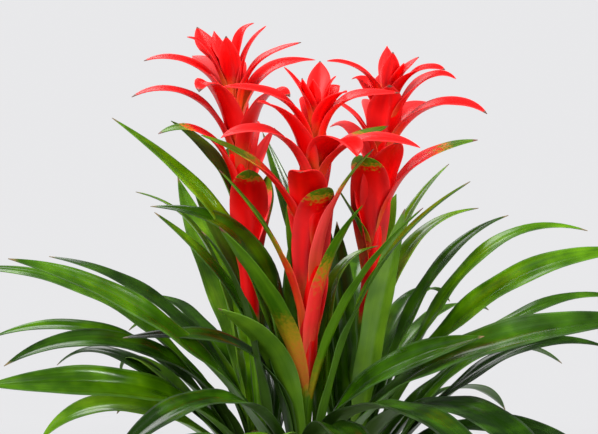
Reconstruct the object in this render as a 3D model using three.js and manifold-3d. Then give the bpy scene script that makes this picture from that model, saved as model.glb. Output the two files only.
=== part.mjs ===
// Potted guzmania: three plants in one round pot of bark mix. Each plant has a rosette of strap
// leaves on a short crown, and a leaning stem that carries a spike of red bracts.
// Millimetres, +Z up. The origin is the middle of the pot's flat bottom, and -Y is the side seen first.

import * as THREE from 'three';
import Module from 'manifold-3d';

const wasm = await Module();
wasm.setup();

// Pot and potting mix.
const POT_HEIGHT = 135;
const POT_FOOT_RADIUS = 56;
const POT_TOP_RADIUS = 84;
const POT_WALL = 5;
const POT_FLOOR = 6;
const RIM_BAND = 16;
const RIM_STEP = 2.5;
const RIM_STEP_RISE = 1.5;
const RIM_TAPER = 0.8;
const POT_CHAMFER = 2;
const POT_SIDES = 48;
const MIX_LEVEL = 120;
const MIX_DOME = 3;
// The shoulder of the mix's low dome, as shares of its radius and of its rise.
const MIX_SHOULDER = 0.6;
const MIX_SHOULDER_RISE = 0.7;
// The gap between pieces that touch, and how far a hollow is cut past the face it opens in.
const CLEARANCE = 0.3;
const CUT_PAST = 1;

// Crown: the short thick stem of a rosette, standing in a plain hole in the mix. It swells where the
// leaves spring from it: each pair is a radius and a height over the level of the mix.
const CROWN_BOTTOM = 60;
const CROWN_ROOT_RADIUS = 11;
const CROWN_SWELLING = [[17, 6], [21, 13], [21, 28], [16.5, 46]];
const CROWN_TOP = 190;
const CROWN_TOP_RADIUS = 12;
const CROWN_SIDES = 16;

// Stem of a spike, standing in a blind hole in the top of its crown. From its lowest bract up it is
// thicker, because the feet of the bracts sheathe it.
const STEM_BOTTOM = 165;
const STEM_RADIUS = 5.5;
const SHEATH_RADIUS = 9.5;
const SHEATH_TAPER = 35;
const SHEATH_TOP_RADIUS = 4;
const SHEATH_TOP_TAPER = 70;
const STEM_SIDES = 10;

// Blades: leaves and bracts are folded straps with a keel down the middle. A blade widens from its
// foot until `widestAt`, narrows after `narrowsFrom` and unfolds until `flattestAt`, all shares of its
// length. `foot` is its width at the foot as a share of its full width, and the folds are in degrees.
// It narrows with the power `bluntness`, then with the power `sharpness`, less `broadening` for each
// millimetre of its width. That gives the broadest bracts round ends and leaves the others pointed.
const LEAF = {
  step: 50,
  foot: 0.4,
  widestAt: 0.55,
  narrowsFrom: 0.6,
  bluntness: 2.2,
  sharpness: 1,
  broadening: 0,
  footFold: 40,
  tipFold: 16,
  flattestAt: 0.5,
};
const BRACT = {
  step: 29,
  foot: 0.45,
  widestAt: 0.5,
  narrowsFrom: 0.55,
  bluntness: 2.3,
  sharpness: 1.3,
  broadening: 0.01,
  footFold: 38,
  tipFold: 10,
  flattestAt: 0.75,
};
const FEWEST_STATIONS = 4;
const KEEL_THICKNESS = 1.6;
const TIP_WIDTH = 1.6;
const TIP_REACH = 0.35;
// A blade's roll starts and ends at these shares of its length.
const ROLL_START = 0.1;
const ROLL_END = 0.6;
// A leaf springs from the crown further out and lower down, the flatter it starts.
const UPRIGHT_LEAF_RING = 10;
const UPRIGHT_LEAF_LEVEL = MIX_LEVEL + 22;
const RING_STEP_PER_DEGREE = 0.25;
const LEVEL_STEP_PER_DEGREE = 0.3;
const BRACT_RING_RADIUS = 7;

// Each plant leans: its axis runs from `foot` on the mix through `head`, and the stem ends at `stemTop`.
const PLANTS = {
  front: { foot: [-4, -34, 120], head: [13, -40, 572], stemTop: 532 },
  left: { foot: [-43, 25, 120], head: [-86, 32, 625], stemTop: 578 },
  right: { foot: [46, 25, 120], head: [97, 30, 608], stemTop: 566 },
};

// A leaf runs from the ring where the leaves spring from the crown. Its row gives the azimuth it leans
// to, how far out and how far up its tip is, its slope at the base and at the tip, how long it holds
// its first slope, its width, and how far it rolls on its side.
const LEAVES = {
  front: [
    // Long arching leaves
    [202, 294, 248, 68, 13, 0.37, 42, -35],
    [160, 215.2, 392.6, 88, 33, 0.5, 29, -20],
    [337, 170, 320, 82, 31, 0.44, 32, 20],
    [338, 343, 193, 64, 5, 0.43, 46, 40],
    // Half-length leaves to each side
    [168, 158, 294, 88, 3, 0.72, 38, -25],
    [192, 146, 288, 86, 39, 0.42, 36, -25],
    [206, 98, 276, 62, 45, 0.32, 31, -10],
    [196, 181, 159, 90, -2, 0.73, 36, -20],
    [225, 110, 191, 90, 24, 0.58, 33, 20],
    [335, 187, 165, 84, 16, 0.45, 43, 40],
    [26, 78, 254, 79, 11, 0.55, 36, 0],
    [100, 58, 267, 84, 75, 0.4, 34, 0],
    // Leaves that hang over the front of the rim
    [230, 259, 62, 75, -40, 0.56, 34, -20],
    [251, 230, -5, 74, -70, 0.5, 49, 0],
    [268, 170, 10, 74, -60, 0.5, 34, 0],
    [305, 290, 30, 76, -62, 0.5, 47, 0],
    [286, 210, 40, 78, -50, 0.5, 40, 0],
    [214, 220, 20, 62, -52, 0.45, 38, 0],
  ],
  left: [
    // Upright leaves
    [125, 180, 332, 84, 58, 0.4, 47, 0],
    [170, 135, 313, 80, 12, 0.42, 25, 0],
    // Long arching leaves
    [172, 234, 240, 82, 10, 0.43, 34, -15],
    [188, 312, 233, 69, -2, 0.43, 36, -20],
    [190, 278, 161, 67, -20, 0.47, 31, -25],
    [200, 270, 133, 75, -32, 0.51, 36, -30],
    [165, 231, 122, 58, -44, 0.29, 29, -15],
    [207, 296, 121, 67, 1, 0.44, 43, -45],
    [195, 226, 56, 55, -53, 0.51, 36, -30],
    [162, 157, 112, 60, -89, 0.28, 38, 0],
    [150, 175, 151, 86, -38, 0.5, 31, 0],
    // Leaves at the back
    [95, 200, 250, 84, 0, 0.45, 36, 0],
    [130, 260, 180, 76, -20, 0.45, 36, 10],
    [70, 240, 235, 80, -15, 0.45, 34, 0],
    [110, 270, 110, 66, -40, 0.45, 36, 0],
    [143, 210, 55, 62, -50, 0.45, 36, 10],
    [84, 190, 60, 66, -60, 0.5, 38, 0],
    [80, 130, 140, 84, -30, 0.5, 32, 0],
  ],
  right: [
    // Upright leaves
    [38, 139.8, 345.2, 85, 34, 0.45, 20, 0],
    [12, 137, 294, 83, 8, 0.5, 38, 10],
    [5, 164, 288, 76, 19, 0.31, 34, 15],
    [309, 76, 293, 82, 67, 0.38, 40, 0],
    [132, 136, 383, 85, 62, 0.4, 38, 0],
    [100, 60, 278, 86, 75, 0.4, 34, 0],
    [115, 55, 294, 86, 70, 0.4, 20, 0],
    // Long arching leaves
    [355, 243, 273, 70, -15, 0.48, 36, 20],
    [345, 291, 252, 71, 0, 0.43, 45, 35],
    [5, 304, 197, 57, -17, 0.39, 31, 15],
    [350, 258, 155, 51, -16, 0.42, 34, 20],
    [340, 148, 154, 49, 15, 0.38, 31, 20],
    [45, 163, 183, 86, -45, 0.5, 36, 0],
    [308, 290, 22, 72, -60, 0.5, 52, 10],
    [340, 251, 38, 52, -38, 0.42, 38, 20],
    // Leaves at the back
    [85, 210, 240, 84, 0, 0.45, 36, 0],
    [50, 270, 170, 74, -20, 0.45, 36, -10],
    [112, 230, 150, 80, -15, 0.45, 34, 0],
    [70, 280, 100, 64, -40, 0.45, 36, 0],
    [20, 250, 120, 62, -35, 0.45, 34, -10],
    [97, 200, 50, 64, -60, 0.5, 38, 0],
    [36, 220, 60, 60, -50, 0.45, 36, -10],
    [102, 135, 125, 84, -40, 0.5, 30, 0],
  ],
};

// A bract's row starts with the height where it leaves the stem, and goes on as a leaf's does.
const BRACTS = {
  front: [
    // Tuft at the top
    [528, 80.5, 14, 62.4, 88, 82, 0.35, 27, 0],
    [520, 188, 27.7, 61.2, 85, 45, 0.4, 22, -22],
    [528, 225, 15.4, 40.6, 88, 80, 0.35, 18, -16],
    [530, 252.8, 8, 37.7, 88, 80, 0.35, 15, -7],
    [528, 345, 13.5, 43.7, 76, 40, 0.35, 20, 21],
    [528, 35, 23.1, 35.4, 72, 0, 0.4, 26, 18],
    [503, 312, 39.7, 49.3, 84, -5, 0.5, 32, 15],
    [500, 95, 55, 55, 84, 0, 0.5, 32, 0],
    // Upper ring
    [476, 194, 91.7, 82.7, 90, -3, 0.61, 36, -21],
    [452, 218, 67.7, 89.2, 82, 0, 0.5, 43, -17],
    [479, 348, 81.7, 73.9, 90, -1, 0.72, 32, 22],
    [460, 305, 66, 25, 86, -80, 0.8, 43, 0],
    [437, 340, 108.5, 57.9, 88, -25, 0.63, 32, 21],
    [458, 20, 77.3, 63.6, 76, 20, 0.4, 29, 21],
    [455, 100, 70, 80, 84, -10, 0.5, 36, 0],
    // Lower ring
    [429, 204, 97, 75.9, 90, -30, 0.72, 36, -20],
    [384, 196, 112, 124.3, 78, 20, 0.47, 34, -21],
    [370, 262, 78, 98, 86, -12, 0.68, 42, 0],
    [317, 290, 50, 137, 88, 15, 0.7, 46, 0],
    [345, 335, 64.9, 149.2, 85, 42, 0.45, 41, 20],
    [410, 84, 88, 90, 84, 0, 0.5, 36, 0],
    [340, 100, 90, 130, 84, 30, 0.45, 36, -4],
    [284, 74, 32, 105, 86, 70, 0.4, 34, 0],
    // Long bracts at the foot of the stem
    [299, 200, 91.6, 173.4, 81, 45, 0.39, 29, -21],
    [246, 318, 68.3, 189.3, 88, 43, 0.45, 34, 16],
    [244, 231, 130, 170, 68, 40, 0.38, 38, -14],
    [233, 316, 150.4, 199.9, 72, 34, 0.36, 22, 16],
    [290, 110, 55, 160, 84, 40, 0.4, 32, -8],
  ],
  left: [
    // Tuft at the top
    [572, 20, 18.3, 66.9, 90, 17, 0.61, 18, 21],
    [544, 352, 28.6, 89.9, 89, 39, 0.53, 28, 22],
    [568, 150, 39.9, 68.7, 70, 66, 0.35, 34, -19],
    [577, 125, 30.1, 56.1, 82, 72, 0.35, 18, -13],
    [555, 258, 24, 64.6, 88, 66, 0.5, 25, 0],
    [563, 190, 43.4, 58.3, 61, 3, 0.33, 20, -22],
    [550, 140, 57.1, 56.2, 70, 14, 0.4, 32, -17],
    [545, 92, 45, 60, 84, 10, 0.45, 29, 0],
    // Upper ring
    [525, 188, 93.5, 69.4, 84, -22, 0.52, 28, -22],
    [462, 194, 112.8, 91.5, 88, -31, 0.62, 29, -21],
    [484, 228, 53.6, 73.6, 86, -75, 0.74, 46, -15],
    [533, 350, 67, 81.8, 90, 14, 0.59, 28, 22],
    [528, 25, 90.5, 73.7, 76, -1, 0.54, 29, 20],
    [468, 325, 60.6, 85, 84, -40, 0.7, 43, 18],
    [500, 101, 75, 72, 84, -10, 0.5, 34, 0],
    // Lower ring
    [397, 200, 91.5, 116.4, 90, -27, 0.72, 36, -21],
    [398, 172, 76.7, 132.5, 84, 30, 0.45, 28, -22],
    [353, 272, 52, 121, 88, 20, 0.65, 44, 0],
    [421, 30, 32.6, 102.2, 86, 50, 0.45, 20, 19],
    [361, 20, 18.4, 112.8, 84, 76, 0.45, 36, 21],
    [450, 86, 85, 85, 84, 0, 0.5, 36, 0],
    [400, 104, 85, 105, 84, 20, 0.45, 36, 0],
    [350, 75, 70, 120, 84, 35, 0.45, 34, 6],
    // Long bract at the foot of the stem
    [300, 150, 70, 150, 84, 50, 0.4, 29, -19],
  ],
  right: [
    // Tuft at the top
    [550, 91.9, 10, 64.4, 88, 86, 0.35, 22, 0],
    [550, 280, 13.7, 53.3, 86, 70, 0.35, 21, 0],
    [563, 0, 25.2, 37.2, 76, 34, 0.35, 18, 22],
    [560, 310, 15.9, 31.6, 84, 60, 0.35, 18, 14],
    [539, 194, 61.9, 54.9, 88, -4, 0.48, 26, -21],
    [530, 86, 45, 57, 84, 10, 0.45, 29, 0],
    // Upper ring
    [535, 330, 62.5, 47.2, 83, -23, 0.58, 34, 19],
    [517, 350, 70.3, 57.7, 74, -37, 0.52, 32, 22],
    [517, 150, 34.6, 61, 83, -24, 0.38, 28, -19],
    [491, 279.9, 26, 75.2, 88, 50, 0.6, 43, 4],
    [489, 345, 107.7, 46.2, 73, -41, 0.53, 36, 21],
    [495, 40, 65.9, 58.3, 78, -2, 0.38, 32, 17],
    [480, 190, 51.2, 73, 78, 20, 0.45, 26, -22],
    [447, 165, 48.2, 77, 82, -30, 0.51, 34, -21],
    [485, 98, 70, 72, 84, -10, 0.5, 34, 0],
    // Lower ring
    [397, 290, 59, 107, 86, 30, 0.6, 46, 8],
    [392, 350, 106.9, 115.6, 84, 8, 0.53, 36, 22],
    [364, 264, 50, 123, 88, 20, 0.65, 46, 0],
    [368, 172, 8.8, 113.3, 86, 84, 0.4, 36, -22],
    [383, 200, 34, 72, 80, 60, 0.4, 26, -21],
    [442, 79, 75, 82, 84, 0, 0.5, 36, 0],
    [400, 99, 80, 96, 84, 20, 0.45, 36, 0],
    [345, 80, 70, 120, 84, 35, 0.45, 34, 4],
    // Long bract at the foot of the stem
    [300, 55, 60, 150, 84, 50, 0.4, 29, 13],
  ],
};

const UP = new THREE.Vector3(0, 0, 1);
const radians = THREE.MathUtils.degToRad;
const between = (value) => THREE.MathUtils.clamp(value, 0, 1);
const heading = (azimuth) => new THREE.Vector3(Math.cos(azimuth), Math.sin(azimuth), 0);

// The point of a plant's leaning axis at height z.
function axisPoint(plant, z) {
  const foot = new THREE.Vector3(...PLANTS[plant].foot);
  const head = new THREE.Vector3(...PLANTS[plant].head);
  return foot.clone().lerp(head, (z - foot.z) / (head.z - foot.z));
}

// A closed solid from a list of points and a list of triangles.
function solidFrom(points, triangles) {
  const vertProperties = new Float32Array(points.flatMap((point) => point.toArray()));
  const triVerts = new Uint32Array(triangles.flat());
  return new wasm.Manifold(new wasm.Mesh({ numProp: 3, vertProperties, triVerts }));
}

// A solid turned round an axis that may lean. The profile is a list of [radius, height] from the
// bottom up, with its first and last point on the axis, and centreAt gives the axis at a height.
function turned(profile, sides, centreAt) {
  const points = [];
  const starts = [];
  for (const [radius, z] of profile) {
    starts.push(points.length);
    const count = radius === 0 ? 1 : sides;
    for (let k = 0; k < count; k += 1) {
      const point = heading((2 * Math.PI * k) / sides).multiplyScalar(radius);
      points.push(point.add(centreAt(z)));
    }
  }
  const triangles = [];
  for (let ring = 0; ring + 1 < profile.length; ring += 1) {
    const lowerIsPoint = profile[ring][0] === 0;
    const upperIsPoint = profile[ring + 1][0] === 0;
    for (let k = 0; k < sides; k += 1) {
      const next = (k + 1) % sides;
      const lower = starts[ring] + (lowerIsPoint ? 0 : k);
      const lowerNext = starts[ring] + (lowerIsPoint ? 0 : next);
      const upper = starts[ring + 1] + (upperIsPoint ? 0 : k);
      const upperNext = starts[ring + 1] + (upperIsPoint ? 0 : next);
      if (!lowerIsPoint) triangles.push([lower, lowerNext, upperNext]);
      if (!upperIsPoint) triangles.push([lower, upperNext, upper]);
    }
  }
  return solidFrom(points, triangles);
}

// Fused blades can seal small hollows between them. Only the outer surface of the body is kept, so
// the hollows are filled.
function outerBody(solid) {
  const surfaces = solid.decompose();
  return surfaces.reduce((most, next) => (next.volume() > most.volume() ? next : most));
}

// The share of its full width that a blade has at s, from its base at 0 to its tip at 1.
function widthShare({ foot, widestAt, narrowsFrom, bluntness, sharpness, broadening }, s, width) {
  const widening = foot + (1 - foot) * Math.sin((Math.PI / 2) * between(s / widestAt));
  const past = between((s - narrowsFrom) / (1 - narrowsFrom));
  return widening * (1 - past ** bluntness) ** (sharpness - broadening * width);
}

// How far each half of a blade is folded up from the flat: most where it wraps the plant.
function foldAngle({ footFold, tipFold, flattestAt }, s) {
  return radians(footFold - (footFold - tipFold) * between(s / flattestAt));
}

// The midrib of a blade: one curve in the upright plane that its azimuth gives.
function midrib(base, { azimuth, reach, rise, baseSlope, tipSlope, hold }) {
  const out = heading(azimuth);
  const inPlane = (along, up) => base.clone().addScaledVector(out, along).addScaledVector(UP, up);
  const span = Math.hypot(reach, rise);
  return new THREE.CubicBezierCurve3(
    base,
    inPlane(hold * span * Math.cos(baseSlope), hold * span * Math.sin(baseSlope)),
    inPlane(
      reach - TIP_REACH * span * Math.cos(tipSlope),
      rise - TIP_REACH * span * Math.sin(tipSlope),
    ),
    inPlane(reach, rise),
  );
}

// A blade's section is a flat rhombus: left edge, top of the keel, right edge, foot of the keel.
function blade(base, shape, kind) {
  const curve = midrib(base, shape);
  const stations = Math.max(FEWEST_STATIONS, Math.round(curve.getLength() / kind.step));
  const across = new THREE.Vector3(-Math.sin(shape.azimuth), Math.cos(shape.azimuth), 0);
  const points = [];
  for (let i = 0; i <= stations; i += 1) {
    const s = i / stations;
    const centre = curve.getPointAt(s);
    const along = curve.getTangentAt(s);
    const turn = shape.roll * between((s - ROLL_START) / (ROLL_END - ROLL_START));
    const side = across.clone().applyAxisAngle(along, turn);
    const lift = along.clone().cross(side).normalize();
    const half = Math.max(shape.width * widthShare(kind, s, shape.width), TIP_WIDTH) / 2;
    const fold = foldAngle(kind, s);
    const inward = half * Math.sin(fold);
    const sideways = half * Math.cos(fold);
    const edge = (sign) => centre.clone().addScaledVector(side, sign * sideways)
      .addScaledVector(lift, inward);
    const keel = (sign) => centre.clone().addScaledVector(lift, (sign * KEEL_THICKNESS) / 2);
    points.push(edge(1), keel(1), edge(-1), keel(-1));
  }
  const triangles = [[0, 2, 1], [0, 3, 2]];
  for (let i = 0; i < stations; i += 1) {
    const [left, top, right, foot] = [0, 1, 2, 3].map((corner) => 4 * i + corner);
    const [leftOn, topOn, rightOn, footOn] = [4, 5, 6, 7].map((corner) => 4 * i + corner);
    triangles.push([left, top, topOn], [left, topOn, leftOn]);
    triangles.push([right, topOn, top], [right, rightOn, topOn]);
    triangles.push([left, footOn, foot], [left, leftOn, footOn]);
    triangles.push([right, foot, footOn], [right, footOn, rightOn]);
  }
  const last = 4 * stations;
  triangles.push([last, last + 1, last + 2], [last, last + 2, last + 3]);
  return solidFrom(points, triangles);
}

// The place of the base slope in a leaf's row.
const BASE_SLOPE = 3;

// Turns a row of a table into a shape with its angles in radians.
function shapeOf([azimuth, reach, rise, baseSlope, tipSlope, hold, width, roll]) {
  return {
    azimuth: radians(azimuth),
    reach,
    rise,
    baseSlope: radians(baseSlope),
    tipSlope: radians(tipSlope),
    hold,
    width,
    roll: radians(roll),
  };
}

// The crown of one plant. `grown` makes it larger all round, for the hole that it stands in.
function crown(plant, grown = 0) {
  const bottom = CROWN_BOTTOM + CLEARANCE - grown;
  const root = CROWN_ROOT_RADIUS + grown;
  const profile = [
    [0, bottom],
    [root, bottom],
    [root, MIX_LEVEL + MIX_DOME],
    ...CROWN_SWELLING.map(([radius, over]) => [radius, MIX_LEVEL + over]),
    [CROWN_TOP_RADIUS, CROWN_TOP],
    [0, CROWN_TOP],
  ];
  return turned(profile, CROWN_SIDES, (z) => axisPoint(plant, z));
}

function stemHole(plant) {
  const radius = STEM_RADIUS + CLEARANCE;
  const top = CROWN_TOP + CUT_PAST;
  const profile = [[0, STEM_BOTTOM], [radius, STEM_BOTTOM], [radius, top], [0, top]];
  return turned(profile, STEM_SIDES, (z) => axisPoint(plant, z));
}

function stem(plant) {
  const bottom = STEM_BOTTOM + CLEARANCE;
  const lowestBract = Math.min(...BRACTS[plant].map(([height]) => height));
  const { stemTop } = PLANTS[plant];
  const profile = [
    [0, bottom],
    [STEM_RADIUS, bottom],
    [STEM_RADIUS, lowestBract - SHEATH_TAPER],
    [SHEATH_RADIUS, lowestBract + SHEATH_TAPER],
    [SHEATH_RADIUS, stemTop - SHEATH_TOP_TAPER],
    [SHEATH_TOP_RADIUS, stemTop],
    [0, stemTop],
  ];
  return turned(profile, STEM_SIDES, (z) => axisPoint(plant, z));
}

function rosette(plant) {
  let body = crown(plant).subtract(stemHole(plant));
  for (const row of LEAVES[plant]) {
    const shape = shapeOf(row);
    const leaning = 90 - row[BASE_SLOPE];
    const base = axisPoint(plant, UPRIGHT_LEAF_LEVEL - leaning * LEVEL_STEP_PER_DEGREE);
    const ring = UPRIGHT_LEAF_RING + leaning * RING_STEP_PER_DEGREE;
    base.addScaledVector(heading(shape.azimuth), ring);
    body = body.add(blade(base, shape, LEAF));
  }
  return outerBody(body);
}

function spike(plant) {
  let body = stem(plant);
  for (const [height, ...row] of BRACTS[plant]) {
    const shape = shapeOf(row);
    const base = axisPoint(plant, height);
    base.addScaledVector(heading(shape.azimuth), BRACT_RING_RADIUS);
    body = body.add(blade(base, shape, BRACT));
  }
  return outerBody(body);
}

const middle = (z) => new THREE.Vector3(0, 0, z);

// The radius of the pot's outside at height z, below the band under its rim.
function potRadius(z) {
  return POT_FOOT_RADIUS + ((POT_TOP_RADIUS - RIM_STEP - POT_FOOT_RADIUS) * z) / POT_HEIGHT;
}

function pot() {
  const bandBottom = POT_HEIGHT - RIM_BAND;
  const outside = turned([
    [0, 0],
    [POT_FOOT_RADIUS - POT_CHAMFER, 0],
    [POT_FOOT_RADIUS, POT_CHAMFER],
    [potRadius(bandBottom), bandBottom],
    [POT_TOP_RADIUS - RIM_TAPER, bandBottom + RIM_STEP_RISE],
    [POT_TOP_RADIUS, POT_HEIGHT - POT_CHAMFER],
    [POT_TOP_RADIUS - POT_CHAMFER, POT_HEIGHT],
    [0, POT_HEIGHT],
  ], POT_SIDES, middle);
  const inside = turned([
    [0, POT_FLOOR],
    [potRadius(POT_FLOOR) - POT_WALL, POT_FLOOR],
    [potRadius(POT_HEIGHT) - POT_WALL, POT_HEIGHT],
    [potRadius(POT_HEIGHT) - POT_WALL, POT_HEIGHT + CUT_PAST],
    [0, POT_HEIGHT + CUT_PAST],
  ], POT_SIDES, middle);
  return outside.subtract(inside);
}

function pottingMix() {
  const bottom = POT_FLOOR + CLEARANCE;
  const wallGap = POT_WALL + CLEARANCE;
  const fill = turned([
    [0, bottom],
    [potRadius(bottom) - wallGap, bottom],
    [potRadius(MIX_LEVEL) - wallGap, MIX_LEVEL],
    [MIX_SHOULDER * potRadius(MIX_LEVEL), MIX_LEVEL + MIX_SHOULDER_RISE * MIX_DOME],
    [0, MIX_LEVEL + MIX_DOME],
  ], POT_SIDES, middle);
  const holes = Object.keys(PLANTS).map((plant) => crown(plant, CLEARANCE));
  return holes.reduce((mix, hole) => mix.subtract(hole), fill);
}

function meshOf(name, solid, color, roughness) {
  const { vertProperties, triVerts } = solid.getMesh();
  const geometry = new THREE.BufferGeometry();
  geometry.setAttribute('position', new THREE.BufferAttribute(vertProperties, 3));
  geometry.setIndex(new THREE.BufferAttribute(triVerts, 1));
  geometry.computeVertexNormals();
  const material = new THREE.MeshStandardMaterial({ color, roughness, metalness: 0 });
  const mesh = new THREE.Mesh(geometry, material);
  mesh.name = name;
  return mesh;
}

const guzmania = new THREE.Group();
guzmania.add(meshOf('pot', pot(), 0xe9e6df, 0.25));
guzmania.add(meshOf('potting_mix', pottingMix(), 0x4a3525, 0.95));
for (const plant of Object.keys(PLANTS)) {
  guzmania.add(meshOf(`rosette_${plant}`, rosette(plant), 0x3f6b2a, 0.35));
  guzmania.add(meshOf(`spike_${plant}`, spike(plant), 0xe3262b, 0.4));
}

export default guzmania;
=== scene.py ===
# %% [markdown]
# # A potted guzmania
# Three plants share one round pot of bark mix. Each one has a rosette of strap leaves and a stem that
# carries a spike of red bracts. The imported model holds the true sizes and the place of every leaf. Here
# each faceted solid gives way to a finer piece of the same form, with its own finish.

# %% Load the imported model
import math
import bpy
import numpy as np
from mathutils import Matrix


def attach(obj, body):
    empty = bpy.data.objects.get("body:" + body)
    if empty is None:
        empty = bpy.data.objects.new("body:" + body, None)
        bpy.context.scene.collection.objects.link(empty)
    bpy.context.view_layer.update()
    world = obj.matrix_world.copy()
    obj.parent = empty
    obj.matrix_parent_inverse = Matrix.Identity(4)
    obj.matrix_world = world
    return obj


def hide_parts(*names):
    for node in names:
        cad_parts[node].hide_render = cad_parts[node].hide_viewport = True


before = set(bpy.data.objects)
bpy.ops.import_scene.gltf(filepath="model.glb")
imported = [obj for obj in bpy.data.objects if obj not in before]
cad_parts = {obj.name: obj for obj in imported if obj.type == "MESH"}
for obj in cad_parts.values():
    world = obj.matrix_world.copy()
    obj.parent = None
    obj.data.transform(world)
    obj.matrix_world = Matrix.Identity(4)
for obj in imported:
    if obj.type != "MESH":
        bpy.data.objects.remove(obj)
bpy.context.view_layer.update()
MM = 0.001
print("nodes:", ", ".join(sorted(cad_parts)))

# %% [markdown]
# ## The camera
# The plant was seen from level with its lower bracts, from about a metre and a half away. A level
# camera keeps the spikes upright. The lens follows from the picture's width in pixels and from how many
# pixels one radian covers there, so nothing has to be shifted or cropped.

# %% Set the camera
PICTURE_WIDTH = 598
PIXELS_PER_RADIAN = 1389
camera = bpy.data.objects.new("camera", bpy.data.cameras.new("camera"))
camera.data.sensor_width = 36
camera.data.lens = camera.data.sensor_width * PIXELS_PER_RADIAN / PICTURE_WIDTH
camera.location = (-0.0076, -1.5, 0.424)
camera.rotation_euler = (math.radians(90), 0, 0)
bpy.context.collection.objects.link(camera)
bpy.context.scene.camera = camera
print("lens:", round(camera.data.lens, 1), "mm")

# %% [markdown]
# ## Where the three plants grow
# A real pot of this kind holds three young plants that lean apart. Each axis here is a straight line from
# its foot on the mix to its head, in millimetres, and the stem ends at `top`. The same numbers placed the
# solids, so the fine pieces land where the solids are.

# %% Set out the plants
MIX_LEVEL = 120
PLANTS = {
    "front": {"foot": (-4, -34, 120), "head": (13, -40, 572), "top": 532},
    "left": {"foot": (-43, 25, 120), "head": (-86, 32, 625), "top": 578},
    "right": {"foot": (46, 25, 120), "head": (97, 30, 608), "top": 566},
}


def axis_point(plant, height):
    """The point of a plant's leaning axis at a height, in millimetres."""
    foot, head = (np.array(PLANTS[plant][end], float) for end in ("foot", "head"))
    share = (height - foot[2]) / (head[2] - foot[2])
    return foot + (head - foot) * share


for plant in PLANTS:
    lean = axis_point(plant, MIX_LEVEL + 100) - axis_point(plant, MIX_LEVEL)
    print(plant, "leans", round(math.degrees(math.atan2(math.hypot(*lean[:2]), lean[2])), 1), "degrees")

# %% [markdown]
# ## The leaves, one by one
# The leaves of a rosette could be scattered by a rule, but each one here has a place of its own, so each
# has a row. A row gives the azimuth that a leaf leans to, how far out and how far up its tip is from its
# foot, its slope at the base and at the tip, how long it holds its first slope, its width, how far it
# rolls on its side, and its tone: below 0 is a darker green, above 0 a brighter one.

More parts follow.
